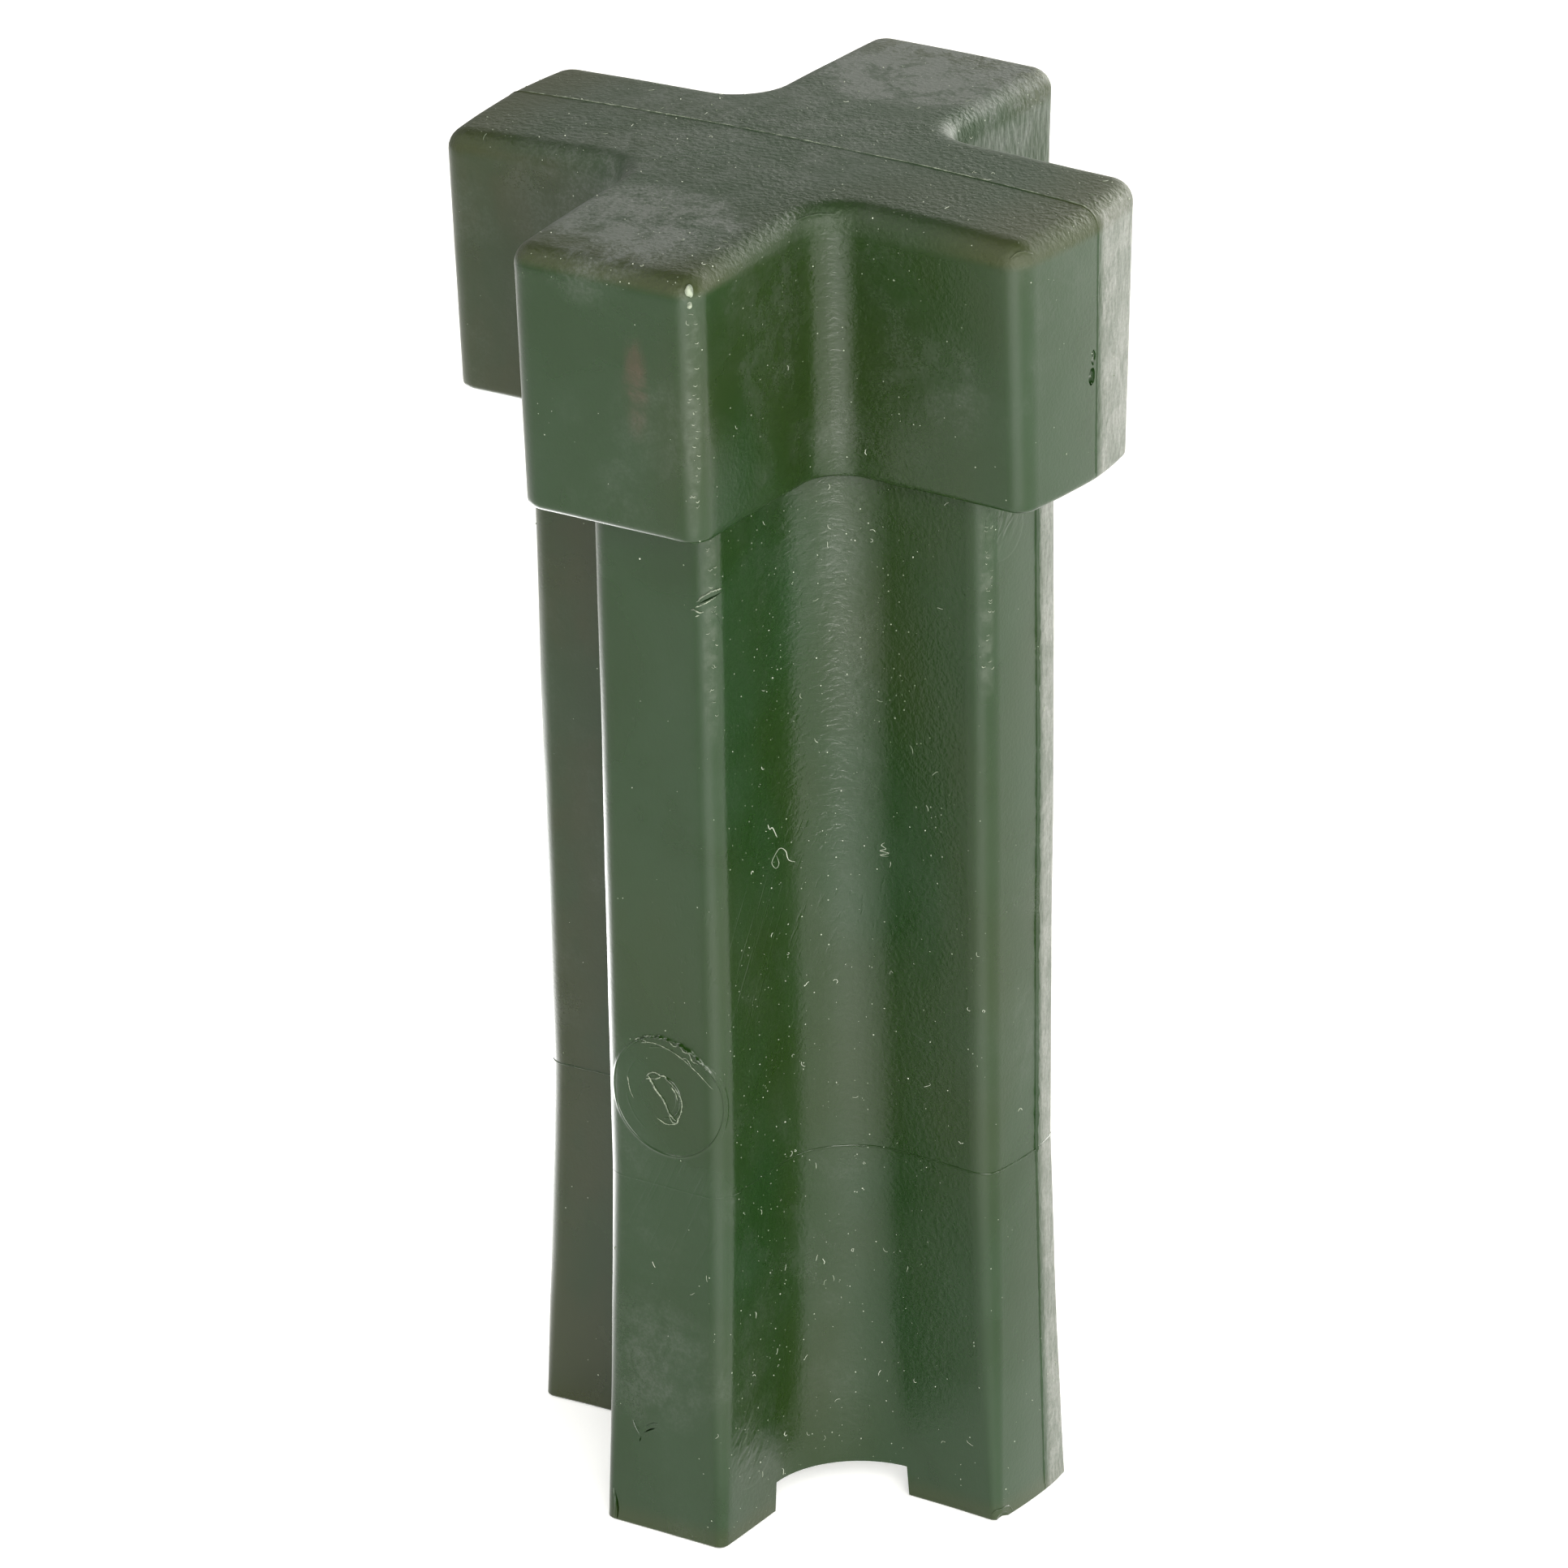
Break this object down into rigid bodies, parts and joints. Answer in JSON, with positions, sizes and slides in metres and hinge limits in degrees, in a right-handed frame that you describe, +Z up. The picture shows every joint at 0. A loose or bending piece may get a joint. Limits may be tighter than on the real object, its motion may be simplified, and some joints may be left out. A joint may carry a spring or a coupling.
{
  "type": "post driver",
  "caption": "Hand drive-in block for ground spike post sockets: cross-shaped striking head on a longer, narrower cross-shaped shaft with rounded flutes.",
  "frame": {"origin": "centre of the foot plane, on the block's upright axis", "axes": "+Z up the shaft to the striking face; the side arms lie along X and the front and back arms along Y; the gate mark is on the -Y arm"},
  "size_m": [0.0882, 0.086, 0.1802],
  "materials": {
    "green_plastic": "satin moulded plastic, dark green with cloudy grey-green mottling, fine moulded grain"
  },
  "bodies": {
    "root": {"moulded_block": "green_plastic"}
  },
  "joints": []
}
